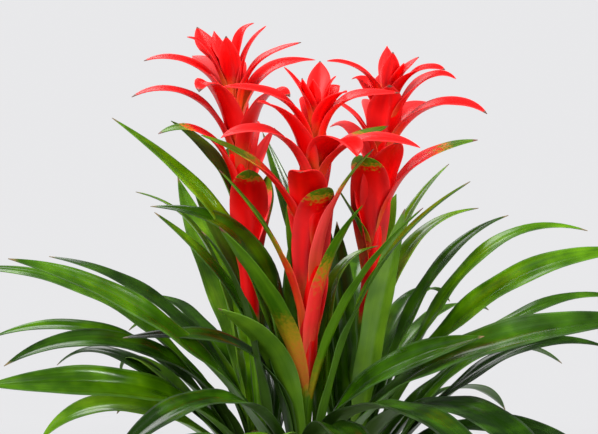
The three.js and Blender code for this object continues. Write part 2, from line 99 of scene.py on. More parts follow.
# %% List the leaves
LEAVES = {
    "front": [
        # Long arching leaves
        (202, 294, 248, 68, 13, 0.37, 42, -35, 0.03),
        (160, 215.2, 392.6, 88, 33, 0.5, 29, -20, 0.82),
        (337, 170, 320, 82, 31, 0.44, 32, 20, 0.22),
        (338, 343, 193, 64, 5, 0.43, 46, 40, -0.21),
        # Half-length leaves to each side
        (168, 158, 294, 88, 3, 0.72, 38, -25, -0.31),
        (192, 146, 288, 86, 39, 0.42, 36, -25, -0.04),
        (206, 98, 276, 62, 45, 0.32, 31, -10, -1),
        (196, 181, 159, 90, -2, 0.73, 36, -20, -0.57),
        (225, 110, 191, 90, 24, 0.58, 33, 20, 0.95),
        (335, 187, 165, 84, 16, 0.45, 43, 40, -0.44),
        (26, 78, 254, 79, 11, 0.55, 36, 0, 0.7),
        (100, 58, 267, 84, 75, 0.4, 34, 0, -0.2),
        # Leaves that hang over the front of the rim
        (230, 259, 62, 75, -40, 0.56, 34, -20, -0.81),
        (251, 230, -5, 74, -70, 0.5, 49, 0, 0.77),
        (268, 170, 10, 74, -60, 0.5, 34, 0, -0.64),
        (305, 290, 30, 76, -62, 0.5, 47, 0, -0.68),
        (286, 210, 40, 78, -50, 0.5, 40, 0, -1),
        (214, 220, 20, 62, -52, 0.45, 38, 0, -0.05),
    ],
    "left": [
        # Upright leaves
        (125, 180, 332, 84, 58, 0.4, 47, 0, 0.68),
        (170, 135, 313, 80, 12, 0.42, 25, 0, 1),
        # Long arching leaves
        (172, 234, 240, 82, 10, 0.43, 34, -15, -0.31),
        (188, 312, 233, 69, -2, 0.43, 36, -20, 0.18),
        (190, 278, 161, 67, -20, 0.47, 31, -25, 0.29),
        (200, 270, 133, 75, -32, 0.51, 36, -30, -0.49),
        (165, 231, 122, 58, -44, 0.29, 29, -15, -0.55),
        (207, 296, 121, 67, 1, 0.44, 43, -45, 0.25),
        (195, 226, 56, 55, -53, 0.51, 36, -30, 1),
        (162, 157, 112, 60, -89, 0.28, 38, 0, 1),
        (150, 175, 151, 86, -38, 0.5, 31, 0, 1),
        # Leaves at the back
        (95, 200, 250, 84, 0, 0.45, 36, 0, -1),
        (130, 260, 180, 76, -20, 0.45, 36, 10, -0.13),
        (70, 240, 235, 80, -15, 0.45, 34, 0, 0),
        (110, 270, 110, 66, -40, 0.45, 36, 0, 0.3),
        (143, 210, 55, 62, -50, 0.45, 36, 10, -0.1),
        (84, 190, 60, 66, -60, 0.5, 38, 0, -1),
        (80, 130, 140, 84, -30, 0.5, 32, 0, -0.4),
    ],
    "right": [
        # Upright leaves
        (38, 139.8, 345.2, 85, 34, 0.45, 20, 0, 0.97),
        (12, 137, 294, 83, 8, 0.5, 38, 10, 1),
        (5, 164, 288, 76, 19, 0.31, 34, 15, -0.01),
        (309, 76, 293, 82, 67, 0.38, 40, 0, 1),
        (132, 136, 383, 85, 62, 0.4, 38, 0, 0.2),
        (100, 60, 278, 86, 75, 0.4, 34, 0, -0.1),
        (115, 55, 294, 86, 70, 0.4, 20, 0, -0.33),
        # Long arching leaves
        (355, 243, 273, 70, -15, 0.48, 36, 20, 0.39),
        (345, 291, 252, 71, 0, 0.43, 45, 35, 0.45),
        (5, 304, 197, 57, -17, 0.39, 31, 15, 0.08),
        (350, 258, 155, 51, -16, 0.42, 34, 20, -1),
        (340, 148, 154, 49, 15, 0.38, 31, 20, 0.29),
        (45, 163, 183, 86, -45, 0.5, 36, 0, 0.1),
        (308, 290, 22, 72, -60, 0.5, 52, 10, -0.87),
        (340, 251, 38, 52, -38, 0.42, 38, 20, -1),
        # Leaves at the back
        (85, 210, 240, 84, 0, 0.45, 36, 0, 0),
        (50, 270, 170, 74, -20, 0.45, 36, -10, 0.2),
        (112, 230, 150, 80, -15, 0.45, 34, 0, -0.1),
        (70, 280, 100, 64, -40, 0.45, 36, 0, 0.3),
        (20, 250, 120, 62, -35, 0.45, 34, -10, 0),
        (97, 200, 50, 64, -60, 0.5, 38, 0, 0.1),
        (36, 220, 60, 60, -50, 0.45, 36, -10, -0.1),
        (102, 135, 125, 84, -40, 0.5, 30, 0, 0.3),
    ],
}
for plant, rows in LEAVES.items():
    print(plant, "rosette:", len(rows), "leaves")

# %% [markdown]
# ## The bracts, one by one
# Bracts are leaves that took on the flower's colour. The ones low on the stem are long and partly green,
# and the ones near the top are short and red all through. A row starts with the height where the bract
# leaves its stem and goes on as a leaf's does. Then comes the share of its length where its red gives way
# to green, where 1 means that it stays red, and at last its tone: below 0 is a deeper red, above 0 a
# paler, pinker one, which is painted sheen.

# %% List the bracts
BRACTS = {
    "front": [
        # Tuft at the top
        (528, 80.5, 14, 62.4, 88, 82, 0.35, 27, 0, 1, 0.06),
        (520, 188, 27.7, 61.2, 85, 45, 0.4, 22, -22, 1, -0.17),
        (528, 225, 15.4, 40.6, 88, 80, 0.35, 18, -16, 1, -0.17),
        (530, 252.8, 8, 37.7, 88, 80, 0.35, 15, -7, 1, -0.04),
        (528, 345, 13.5, 43.7, 76, 40, 0.35, 20, 21, 1, -0.08),
        (528, 35, 23.1, 35.4, 72, 0, 0.4, 26, 18, 1, -0.08),
        (503, 312, 39.7, 49.3, 84, -5, 0.5, 32, 15, 1, -0.04),
        (500, 95, 55, 55, 84, 0, 0.5, 32, 0, 1, 0),
        # Upper ring
        (476, 194, 91.7, 82.7, 90, -3, 0.61, 36, -21, 1, -0.04),
        (452, 218, 67.7, 89.2, 82, 0, 0.5, 43, -17, 1, 0),
        (479, 348, 81.7, 73.9, 90, -1, 0.72, 32, 22, 1, -0.04),
        (460, 305, 66, 25, 86, -80, 0.8, 43, 0, 1, 0),
        (437, 340, 108.5, 57.9, 88, -25, 0.63, 32, 21, 1, 0.06),
        (458, 20, 77.3, 63.6, 76, 20, 0.4, 29, 21, 0.75, 0.66),
        (455, 100, 70, 80, 84, -10, 0.5, 36, 0, 1, 0.25),
        # Lower ring
        (429, 204, 97, 75.9, 90, -30, 0.72, 36, -20, 1, 0.18),
        (384, 196, 112, 124.3, 78, 20, 0.47, 34, -21, 0.72, 0),
        (370, 262, 78, 98, 86, -12, 0.68, 42, 0, 1, 0),
        (317, 290, 50, 137, 88, 15, 0.7, 46, 0, 0.86, -0.54),
        (345, 335, 64.9, 149.2, 85, 42, 0.45, 41, 20, 0.73, 0.5),
        (410, 84, 88, 90, 84, 0, 0.5, 36, 0, 1, 0.28),
        (340, 100, 90, 130, 84, 30, 0.45, 36, -4, 0.7, -0.09),
        (284, 74, 32, 105, 86, 70, 0.4, 34, 0, 1, -0.35),
        # Long bracts at the foot of the stem
        (299, 200, 91.6, 173.4, 81, 45, 0.39, 29, -21, 0.58, 0.06),
        (246, 318, 68.3, 189.3, 88, 43, 0.45, 34, 16, 0.66, 0.25),
        (244, 231, 130, 170, 68, 40, 0.38, 38, -14, 0.38, 0.36),
        (233, 316, 150.4, 199.9, 72, 34, 0.36, 22, 16, 0.1, 0),
        (290, 110, 55, 160, 84, 40, 0.4, 32, -8, 0.4, -0.09),
    ],
    "left": [
        # Tuft at the top
        (572, 20, 18.3, 66.9, 90, 17, 0.61, 18, 21, 1, -0.08),
        (544, 352, 28.6, 89.9, 89, 39, 0.53, 28, 22, 1, -0.37),
        (568, 150, 39.9, 68.7, 70, 66, 0.35, 34, -19, 1, -0.5),
        (577, 125, 30.1, 56.1, 82, 72, 0.35, 18, -13, 1, -0.23),
        (555, 258, 24, 64.6, 88, 66, 0.5, 25, 0, 1, -0.04),
        (563, 190, 43.4, 58.3, 61, 3, 0.33, 20, -22, 1, -0.48),
        (550, 140, 57.1, 56.2, 70, 14, 0.4, 32, -17, 1, 1),
        (545, 92, 45, 60, 84, 10, 0.45, 29, 0, 1, -0.02),
        # Upper ring
        (525, 188, 93.5, 69.4, 84, -22, 0.52, 28, -22, 1, -0.09),
        (462, 194, 112.8, 91.5, 88, -31, 0.62, 29, -21, 1, -0.59),
        (484, 228, 53.6, 73.6, 86, -75, 0.74, 46, -15, 1, 0),
        (533, 350, 67, 81.8, 90, 14, 0.59, 28, 22, 1, -0.04),
        (528, 25, 90.5, 73.7, 76, -1, 0.54, 29, 20, 1, 0),
        (468, 325, 60.6, 85, 84, -40, 0.7, 43, 18, 1, 0),
        (500, 101, 75, 72, 84, -10, 0.5, 34, 0, 1, 0),
        # Lower ring
        (397, 200, 91.5, 116.4, 90, -27, 0.72, 36, -21, 0.84, 0),
        (398, 172, 76.7, 132.5, 84, 30, 0.45, 28, -22, 0.2, 0),
        (353, 272, 52, 121, 88, 20, 0.65, 44, 0, 0.88, 0),
        (421, 30, 32.6, 102.2, 86, 50, 0.45, 20, 19, 1, 0.57),
        (361, 20, 18.4, 112.8, 84, 76, 0.45, 36, 21, 0.85, 1),
        (450, 86, 85, 85, 84, 0, 0.5, 36, 0, 1, 0),
        (400, 104, 85, 105, 84, 20, 0.45, 36, 0, 0.8, 1),
        (350, 75, 70, 120, 84, 35, 0.45, 34, 6, 0.6, 0),
        # Long bract at the foot of the stem
        (300, 150, 70, 150, 84, 50, 0.4, 29, -19, 0.1, 0),
    ],
    "right": [
        # Tuft at the top
        (550, 91.9, 10, 64.4, 88, 86, 0.35, 22, 0, 1, 0.12),
        (550, 280, 13.7, 53.3, 86, 70, 0.35, 21, 0, 1, -0.37),
        (563, 0, 25.2, 37.2, 76, 34, 0.35, 18, 22, 1, -0.36),
        (560, 310, 15.9, 31.6, 84, 60, 0.35, 18, 14, 1, 0),
        (539, 194, 61.9, 54.9, 88, -4, 0.48, 26, -21, 1, 0),
        (530, 86, 45, 57, 84, 10, 0.45, 29, 0, 1, -0.01),
        # Upper ring
        (535, 330, 62.5, 47.2, 83, -23, 0.58, 34, 19, 1, 0),
        (517, 350, 70.3, 57.7, 74, -37, 0.52, 32, 22, 1, -0.12),
        (517, 150, 34.6, 61, 83, -24, 0.38, 28, -19, 1, 0),
        (491, 279.9, 26, 75.2, 88, 50, 0.6, 43, 4, 1, -0.31),
        (489, 345, 107.7, 46.2, 73, -41, 0.53, 36, 21, 1, 0),
        (495, 40, 65.9, 58.3, 78, -2, 0.38, 32, 17, 1, 0.27),
        (480, 190, 51.2, 73, 78, 20, 0.45, 26, -22, 1, 0.23),
        (447, 165, 48.2, 77, 82, -30, 0.51, 34, -21, 1, 1),
        (485, 98, 70, 72, 84, -10, 0.5, 34, 0, 1, 1),
        # Lower ring
        (397, 290, 59, 107, 86, 30, 0.6, 46, 8, 1, 0),
        (392, 350, 106.9, 115.6, 84, 8, 0.53, 36, 22, 0.8, 0),
        (364, 264, 50, 123, 88, 20, 0.65, 46, 0, 0.9, -0.28),
        (368, 172, 8.8, 113.3, 86, 84, 0.4, 36, -22, 0.92, -0.03),
        (383, 200, 34, 72, 80, 60, 0.4, 26, -21, 0.3, 0.06),
        (442, 79, 75, 82, 84, 0, 0.5, 36, 0, 1, 0),
        (400, 99, 80, 96, 84, 20, 0.45, 36, 0, 0.8, 0),
        (345, 80, 70, 120, 84, 35, 0.45, 34, 4, 0.5, 0),
        # Long bract at the foot of the stem
        (300, 55, 60, 150, 84, 50, 0.4, 29, 13, 0.1, 0),
    ],
}
for plant, rows in BRACTS.items():
    print(plant, "spike:", len(rows), "bracts")

# %% [markdown]
# ## The line that a blade follows
# A strap leaf leaves the plant steeply, arches over and hangs by its own weight, all in one upright plane.
# One cubic Bezier curve in that plane says this with four points. Its points aren't evenly spaced by
# length, so it is measured first and then read at even steps. That keeps veins and folds regular.

# %% A midrib
TIP_REACH = 0.35
FINE_STEPS = 400


def midrib(base, azimuth, reach, rise, base_slope, tip_slope, hold, stations):
    """Evenly spaced points along a midrib, their directions, and its length, in millimetres."""
    span = math.hypot(reach, rise)
    first, last = math.radians(base_slope), math.radians(tip_slope)
    handles = np.array([
        (0, 0),
        (hold * span * math.cos(first), hold * span * math.sin(first)),
        (reach - TIP_REACH * span * math.cos(last), rise - TIP_REACH * span * math.sin(last)),
        (reach, rise),
    ])
    t = np.linspace(0, 1, FINE_STEPS)[:, None]
    weights = np.hstack([(1 - t) ** 3, 3 * t * (1 - t) ** 2, 3 * t**2 * (1 - t), t**3])
    fine = weights @ handles
    walked = np.concatenate([[0], np.cumsum(np.hypot(*np.diff(fine, axis=0).T))])
    even = np.linspace(0, walked[-1], stations)
    flat = np.stack([np.interp(even, walked, fine[:, k]) for k in (0, 1)], axis=1)
    slope = np.gradient(flat, axis=0)
    slope /= np.hypot(*slope.T)[:, None]
    out = np.array([math.cos(azimuth), math.sin(azimuth), 0])
    up = np.array([0, 0, 1])
    points = base + flat[:, :1] * out + flat[:, 1:] * up
    directions = slope[:, :1] * out + slope[:, 1:] * up
    return points, directions, walked[-1]


tried = midrib(np.zeros(3), 0.0, 300, 243, 72, 4, 0.4, 40)
print("the longest front leaf is", round(tried[2]), "mm along its midrib")

# %% [markdown]
# ## The width and the fold of a blade
# A blade is narrow where it clasps the plant, widest near its middle, and ends in a fine point. It is a
# channel at its foot and flattens as it goes out. Two small rules give both. Leaves and bracts only differ
# in their numbers, so one dictionary for each keeps them apart. `broadening` gives the broadest bracts
# round ends and leaves the narrow ones pointed.

# %% Rules for leaves and bracts
LEAF = {
    "foot": 0.4, "widest": 0.55, "narrows": 0.6, "bluntness": 2.2, "sharpness": 1, "broadening": 0,
    "foot_fold": 40, "tip_fold": 16, "flattest": 0.5,
    "stations": 44, "wave": 1.5, "keel": 0.8,
}
BRACT = {
    "foot": 0.45, "widest": 0.5, "narrows": 0.55, "bluntness": 2.3, "sharpness": 1.3, "broadening": 0.01,
    "foot_fold": 38, "tip_fold": 10, "flattest": 0.75,
    "stations": 30, "wave": 0.5, "keel": 0.8,
}
FINEST_TIP = 0.35


def width_share(kind, s, width):
    """The share of its full width that a blade has at s, from 0 at its foot to 1 at its tip."""
    widening = kind["foot"] + (1 - kind["foot"]) * np.sin(np.pi / 2 * np.clip(s / kind["widest"], 0, 1))
    past = np.clip((s - kind["narrows"]) / (1 - kind["narrows"]), 0, 1)
    power = kind["sharpness"] - kind["broadening"] * width
    return widening * (1 - past ** kind["bluntness"]) ** power


def fold_angle(kind, s):
    """How far each half of a blade is folded up at s, in radians."""
    flattened = np.clip(s / kind["flattest"], 0, 1)
    return np.radians(kind["foot_fold"] - (kind["foot_fold"] - kind["tip_fold"]) * flattened)


print("a leaf's width at its foot, middle and near its tip:",
      [round(float(width_share(LEAF, np.array(s), 40)), 2) for s in (0, 0.55, 0.9)])

# %% [markdown]
# ## From a row to a rib
# Geometry Nodes will make the blades, so each row is first turned into a rib: a chain of points that
# carry what the nodes need as attributes. `side` and `lift` are the blade's own directions, `half` its
# half width, `depth` its half thickness at the keel. `fold` and `wave` bend it, `stem` tells a round stem
# from a blade, and the rest is for its colour. Attributes on points pass through the nodes by name, which
# a long list of modifier values could not do.

# %% Collect ribs
VALUES = ("half", "depth", "fold", "along", "walked", "wave", "green", "tone", "blade", "stem")
ARROWS = ("side", "lift")


class Ribs:
    """The ribs of one piece, gathered blade by blade."""

    def __init__(self):
        self.points, self.edges = [], []
        self.data = {name: [] for name in VALUES + ARROWS}

    def add(self, points, side, lift, **values):
        start = sum(len(p) for p in self.points)
        self.points.append(points * MM)
        self.edges += [(start + i, start + i + 1) for i in range(len(points) - 1)]
        self.data["side"].append(side)
        self.data["lift"].append(lift)
        for name in VALUES:
            self.data[name].append(np.broadcast_to(np.asarray(values[name], float), len(points)))

    def mesh(self, name):
        made = bpy.data.meshes.new(name)
        made.from_pydata(np.concatenate(self.points).tolist(), self.edges, [])
        for key in VALUES:
            layer = made.attributes.new(key, "FLOAT", "POINT")
            layer.data.foreach_set("value", np.concatenate(self.data[key]).astype(np.float32))
        for key in ARROWS:
            layer = made.attributes.new(key, "FLOAT_VECTOR", "POINT")
            layer.data.foreach_set("vector", np.concatenate(self.data[key]).astype(np.float32).ravel())
        return made


def turned_about(vectors, axes, angles):
    """Each vector turned about its own axis, which is square to it."""
    return vectors * np.cos(angles)[:, None] + np.cross(axes, vectors) * np.sin(angles)[:, None]


chance = np.random.RandomState(11)
ROLL_START, ROLL_SPAN = 0.1, 0.5
WAVE_SPAN = 1.15


def add_blade(ribs, kind, base, row, green_from, tone):
    """Adds the rib of one leaf or bract, whose foot is at base."""
    azimuth_degrees, reach, rise, base_slope, tip_slope, hold, width, roll = row
    azimuth = math.radians(azimuth_degrees)
    points, along, length = midrib(
        base, azimuth, reach, rise, base_slope, tip_slope, hold, kind["stations"])
    s = np.linspace(0, 1, kind["stations"])
    across = np.tile([-math.sin(azimuth), math.cos(azimuth), 0.0], (len(s), 1))
    side = turned_about(across, along, math.radians(roll) * np.clip((s - ROLL_START) / ROLL_SPAN, 0, 1))
    lift = np.cross(along, side)
    half = np.maximum(width * width_share(kind, s, width) / 2, FINEST_TIP)
    ribs.add(
        points, side, lift,
        half=half * MM,
        depth=np.minimum(kind["keel"], half) * MM,
        fold=fold_angle(kind, s),
        along=s,
        walked=s * length * MM,
        wave=kind["wave"] * np.sin(np.pi * np.clip(s * WAVE_SPAN, 0, 1)) * MM,
        green=(s - green_from) if green_from < 1 else -1.0,
        tone=tone,
        blade=chance.uniform(0, 100),
        stem=0,
    )


print("a rib carries", len(VALUES), "values and", len(ARROWS), "directions on each point")

# %% [markdown]
# ## Stems and crowns are ribs too
# A round stem is a blade without a fold whose depth equals its half width. So the crown that the leaves
# spring from, and the stem that carries the bracts, go through the same nodes as upright ribs with a
# radius at each height.

# %% Add upright ribs
def add_upright(ribs, plant, profile, green, rings=40):
    """Adds a round rib on a plant's axis. The profile is a list of (radius, height) in millimetres."""
    radii, heights = np.array(profile, float).T
    z = np.linspace(heights[0], heights[-1], rings)
    radius = np.interp(z, heights, radii)
    points = np.array([axis_point(plant, height) for height in z])
    up = (points[-1] - points[0]) / np.linalg.norm(points[-1] - points[0])
    side = np.cross([0.0, 1.0, 0.0], up)
    side /= np.linalg.norm(side)
    lift = np.cross(up, side)
    s = np.linspace(0, 1, rings)
    ribs.add(
        points, np.tile(side, (rings, 1)), np.tile(lift, (rings, 1)),
        half=radius * MM, depth=radius * MM, fold=0, along=s, walked=(z - z[0]) * MM,
        wave=0, green=np.interp(z, *green), tone=0, blade=chance.uniform(0, 100), stem=1,
    )


CROWN = [(11, 60.3), (11, 123), (17, 126), (21, 133), (21, 148), (16.5, 166), (12, 190)]
STEM_FOOT = 165.3
BARE_RADIUS, SHEATHED_RADIUS, TOP_RADIUS = 5.5, 9.5, 4
SWELL, TAPER = 35, 70


def stem_profile(plant):
    """A bare stem below its lowest bract, and a thicker one where bracts sheathe it."""
    lowest, top = min(row[0] for row in BRACTS[plant]), PLANTS[plant]["top"]
    return [
        (BARE_RADIUS, STEM_FOOT), (BARE_RADIUS, lowest - SWELL), (SHEATHED_RADIUS, lowest + SWELL),
        (SHEATHED_RADIUS, top - TAPER), (TOP_RADIUS, top),
    ]


print("the front stem:", stem_profile("front"))

# %% [markdown]
# ## A small kit for node trees
# Node trees are long to write one call at a time. So a node's output is wrapped as a `Wire`, and plain
# arithmetic on a wire adds the Math nodes. `add_node` adds a node, sets its properties and fills its
# sockets, each with a value or a wire, and `open_tree` opens a tree with named inputs and outputs. The
# shader trees use the same kit later on.

# %% Helpers for node trees
class Wire:
    """A node's output. Plain arithmetic on it adds Math nodes."""

    def __init__(self, tree, socket):
        self.tree, self.socket = tree, socket

    def of(self, operation, *others):
        """One Math node, with this wire as its first number."""
        return wire(self.tree, "ShaderNodeMath", dict(enumerate((self, *others))), operation=operation)

    def vector(self, operation, *others, output=0):
        """One Vector Math node, with this wire as its first vector."""
        return wire(
            self.tree, "ShaderNodeVectorMath", dict(enumerate((self, *others))), output, operation=operation)

    def scaled(self, factor):
        """This vector times a number."""
        return wire(
            self.tree, "ShaderNodeVectorMath", {"Vector": self, "Scale": factor}, operation="SCALE")

    def step(self, low, high):
        """0 below low, 1 above high, and a soft rise between them."""
        return wire(
            self.tree, "ShaderNodeMapRange", {"Value": self, "From Min": low, "From Max": high},
            interpolation_type="SMOOTHSTEP")

    def __add__(self, other):
        return self.of("ADD", other)

    def __sub__(self, other):
        return self.of("SUBTRACT", other)

    def __rsub__(self, other):
        return wire(self.tree, "ShaderNodeMath", {0: other, 1: self}, operation="SUBTRACT")

    def __mul__(self, other):
        return self.of("MULTIPLY", other)

    def __truediv__(self, other):
        return self.of("DIVIDE", other)

    def __pow__(self, other):
        return self.of("POWER", other)

    def __abs__(self):
        return self.of("ABSOLUTE")


def feed(value, socket):
    """Links a wire to a socket, or gives the socket a plain value."""
    if isinstance(value, Wire):
        value.tree.links.new(value.socket, socket)
    else:
        socket.default_value = value


def add_node(tree, kind, sockets=None, **settings):
    """Adds a node. Its sockets are given by name or number, each a value or a wire."""
    made = tree.nodes.new(kind)
    for key, value in settings.items():
        setattr(made, key, value)
    for key, value in (sockets or {}).items():
        feed(value, made.inputs[key])
    return made


def wire(tree, kind, sockets=None, output=0, **settings):
    """Adds a node and gives one of its outputs."""
    return Wire(tree, add_node(tree, kind, sockets, **settings).outputs[output])


def open_tree(name, kind, inputs, outputs):
    """A node tree with its inputs, as {label: (type, default)}, and outputs, as {label: type}."""
    tree = bpy.data.node_groups.new(name, kind)
    for label, (sort, value) in inputs.items():
        made = tree.interface.new_socket(label, in_out="INPUT", socket_type="NodeSocket" + sort)
        if value is not None:
            made.default_value = value
    for label, sort in outputs.items():
        tree.interface.new_socket(label, in_out="OUTPUT", socket_type="NodeSocket" + sort)
    given = add_node(tree, "NodeGroupInput").outputs
    done = add_node(tree, "NodeGroupOutput").inputs
    return tree, {label: Wire(tree, given[label]) for label in inputs}, done


def stored(tree, name, kind="FLOAT"):
    """A named attribute as a field."""
    return wire(tree, "GeometryNodeInputNamedAttribute", {"Name": name}, data_type=kind)


def store(geometry, name, value, kind="FLOAT"):
    """Writes a field to a named attribute on the points."""
    return wire(
        geometry.tree, "GeometryNodeStoreNamedAttribute",
        {"Geometry": geometry, "Name": name, "Value": value}, data_type=kind, domain="POINT")


def plain_result(geometry, given, done):
    """Ends a geometry tree: real geometry instead of instances, with the given material on it."""
    real = wire(geometry.tree, "GeometryNodeRealizeInstances", {"Geometry": geometry})
    feed(wire(geometry.tree, "GeometryNodeSetMaterial", {
        "Geometry": real, "Material": given["Material"]}), done["Geometry"])


print("the kit has", len([feed, add_node, wire, open_tree, stored, store, plain_result]), "helpers")

# %% [markdown]
# ## Nodes that grow a blade on each rib
# The skin of a blade could be drawn with a Subdivision Surface, or lofted by hand. Here Curve to Mesh
# sweeps a circle along each rib, only to get a closed skin with the right faces. Each point of the skin
# then knows its place on the circle as an angle, `turn`, and everything else from its rib. Its cosine is
# the place across the blade and its sine the side of the keel, so one Set Position can lay every point on
# a folded section that is thick at the keel and sharp at both edges. A noise that is stretched along the
# blade raises the low lengthwise pleats that break up a real leaf's shine.

# %% The tree that makes blades
LENS_SHAPE = -0.45
WAVE_LAG = 1.3
PLEAT_STRETCH = 2.5


def blade_tree():
    """Sweeps a section along each rib, folds and pleats it, and lets its edges wave."""
    tree, given, done = open_tree("blades_on_ribs", "GeometryNodeTree", {
        "Geometry": ("Geometry", None),
        "Section points": ("Int", 32),
        "Fold rounding": ("Float", 0.3),
        "Edge droop": ("Float", 0.06),
        "Wave length": ("Float", 0.075),
        "Pleats": ("Float", 2.2),
        "Pleat height": ("Float", 0.06),
        "Material": ("Material", None),
    }, {"Geometry": "Geometry"})
    ribs = wire(tree, "GeometryNodeMeshToCurve", {"Mesh": given["Geometry"]})
    ribs = store(ribs, "centre", wire(tree, "GeometryNodeInputPosition"), "FLOAT_VECTOR")
    sides = given["Section points"]
    circle = wire(tree, "GeometryNodeCurvePrimitiveCircle", {"Resolution": sides}, "Curve")
    circle = store(circle, "turn", wire(tree, "GeometryNodeInputIndex") * (2 * math.pi) / sides)
    skin = wire(tree, "GeometryNodeCurveToMesh", {
        "Curve": ribs, "Profile Curve": circle, "Fill Caps": True})

    turn, half, fold, walked, blade = (
        stored(tree, name) for name in ("turn", "half", "fold", "walked", "blade"))
    across, upper = turn.of("COSINE"), turn.of("SINE")
    rounding = given["Fold rounding"]
    soft = (across ** 2 + rounding ** 2).of("SQRT") - rounding
    most = (rounding ** 2 + 1).of("SQRT") - rounding
    raised = (soft / most) * (half * fold.of("SINE"))
    flesh = 1 - stored(tree, "stem")
    swell = upper.of("SIGN") * abs(upper) ** (flesh * LENS_SHAPE + 1)
    thickness = swell * stored(tree, "depth")
    squared = across * across
    droop = (squared * squared) * (half * given["Edge droop"] * flesh)
    ripple = (across * WAVE_LAG + blade + walked * (2 * math.pi) / given["Wave length"]).of("SINE")
    wave = ripple * squared * stored(tree, "wave")
    spot = wire(tree, "ShaderNodeCombineXYZ", {
        0: across * given["Pleats"], 1: walked * PLEAT_STRETCH, 2: blade})
    folds = wire(tree, "ShaderNodeTexNoise", {"Vector": spot, "Scale": 1.0, "Detail": 0.0}, "Fac")
    pleat = (folds - 0.5) * (half * given["Pleat height"] * flesh)
    height = (raised + thickness) + (wave + pleat) - droop
    sideways = across * (half * fold.of("COSINE"))
    centre, side, lift = (stored(tree, name, "FLOAT_VECTOR") for name in ("centre", "side", "lift"))
    place = centre.vector("ADD", side.scaled(sideways).vector("ADD", lift.scaled(height)))
    skin = wire(tree, "GeometryNodeSetPosition", {"Geometry": skin, "Position": place})
    skin = store(store(skin, "across", across), "upper", upper)
    skin = wire(tree, "GeometryNodeSetShadeSmooth", {"Geometry": skin, "Shade Smooth": True})
    plain_result(skin, given, done)
    return tree


BLADES = blade_tree()
print("the blade tree has", len(BLADES.nodes), "nodes")

# %% [markdown]
# ## From nodes to a plain mesh
# A modifier's inputs are set by each socket's identifier, before the object is first evaluated. The
# result is then copied to a plain mesh and the modifier is taken off, because the finished piece should
# be the same for every program that opens it. The signed volume tells whether its faces point outwards.

# %% Run a tree and keep its result
def grow(name, mesh, tree, values):
    """An object with the plain mesh that a tree makes from a mesh."""
    piece = bpy.data.objects.new(name, mesh)
    bpy.context.collection.objects.link(piece)
    modifier = piece.modifiers.new("grow", "NODES")
    modifier.node_group = tree
    for item in tree.interface.items_tree:
        if item.in_out == "INPUT" and item.name in values:
            modifier[item.identifier] = values[item.name]
    depsgraph = bpy.context.evaluated_depsgraph_get()
    grown = bpy.data.meshes.new_from_object(
        piece.evaluated_get(depsgraph), preserve_all_data_layers=True, depsgraph=depsgraph)
    piece.modifiers.clear()
    piece.data = grown
    grown.name = name
    return piece


def triangles(mesh):
    """The corners of every triangle of a mesh, as an array of vertex numbers."""
    mesh.calc_loop_triangles()
    corners = np.zeros(len(mesh.loop_triangles) * 3, np.int32)
    mesh.loop_triangles.foreach_get("vertices", corners)
    return corners.reshape(-1, 3)


def face_outwards(piece):
    """Turns a closed mesh the right way round if its volume is negative. Returns its volume in cm3."""
    spots = np.zeros(len(piece.data.vertices) * 3, np.float32)
    piece.data.vertices.foreach_get("co", spots)
    a, b, c = spots.reshape(-1, 3)[triangles(piece.data)].transpose(1, 0, 2)
    volume = float(np.einsum("ij,ij->i", a, np.cross(b, c)).sum() / 6)
    if volume < 0:
        piece.data.flip_normals()
    return abs(volume) * 1e6


def keep_only(mesh, names):
    """Drops the attributes that no finish reads."""
    for name in [layer.name for layer in mesh.attributes]:
        if name in VALUES + ARROWS + ("centre", "turn") and name not in names:
            mesh.attributes.remove(mesh.attributes[name])


def finished(piece, replaced):
    """Makes a piece ride on the part's one body, in the place of a solid."""
    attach(piece, "root")
    if replaced:
        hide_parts(replaced)
    print(piece.name, "has", len(triangles(piece.data)), "triangles")


# %% [markdown]
# ## Effects that both finishes share
# Leaves and bracts are the same tissue in two colours, so three effects are made once, as shader node
# groups. `lengthwise_streaks` stretches a noise along the blade, in the blade's own measures, to give
# broad streaks and finer veins. `soft_patches` lets a value drift over a piece. `dry_tip` marks the
# withered last millimetres. Each gives numbers only, and the material decides what they do.

# %% Shared shader groups
VEINS_PER_STREAK = 3.5
TIP_GRAIN = 300.0
TIP_SOFTNESS = 0.02


def read(tree, name):
    """A number that the blade tree left on the points."""
    return wire(tree, "ShaderNodeAttribute", output="Fac", attribute_name=name)


def here(tree):
    """The place on the piece."""
    return wire(tree, "ShaderNodeTexCoord", output="Object")


def noise(tree, spot, scale, detail=2.0):
    """A soft noise around 0.5."""
    return wire(tree, "ShaderNodeTexNoise", {"Vector": spot, "Scale": scale, "Detail": detail}, "Fac")


def open_group(name, inputs, outputs):
    """A shader node group with number inputs {label: default} and number outputs."""
    return open_tree(
        name, "ShaderNodeTree", {label: ("Float", value) for label, value in inputs.items()},
        {label: "Float" for label in outputs})


def lengthwise_streaks():
    group, given, done = open_group(
        "lengthwise_streaks", {"Streaks": 5.0, "Stretch": 9.0}, ["Streak", "Vein"])
    spot = wire(group, "ShaderNodeCombineXYZ", {
        0: read(group, "across") * given["Streaks"],
        1: read(group, "walked") * given["Stretch"], 2: read(group, "blade")})
    feed(noise(group, spot, 1.0, 0.0), done["Streak"])
    feed(noise(group, spot.vector("MULTIPLY", (VEINS_PER_STREAK, 1, 1)), 1.0, 1.0), done["Vein"])
    return group


def soft_patches():
    group, given, done = open_group("soft_patches", {"Scale": 14.0}, ["Patch"])
    feed(noise(group, here(group), given["Scale"]), done["Patch"])
    return group


def dry_tip():
    group, given, done = open_group("dry_tip", {"Start": 0.975, "Unevenness": 0.03}, ["Dry"])
    shift = (noise(group, here(group), TIP_GRAIN) - 0.5) * given["Unevenness"]
    start = given["Start"]
    feed((read(group, "along") + shift).step(start, start + TIP_SOFTNESS), done["Dry"])
    return group


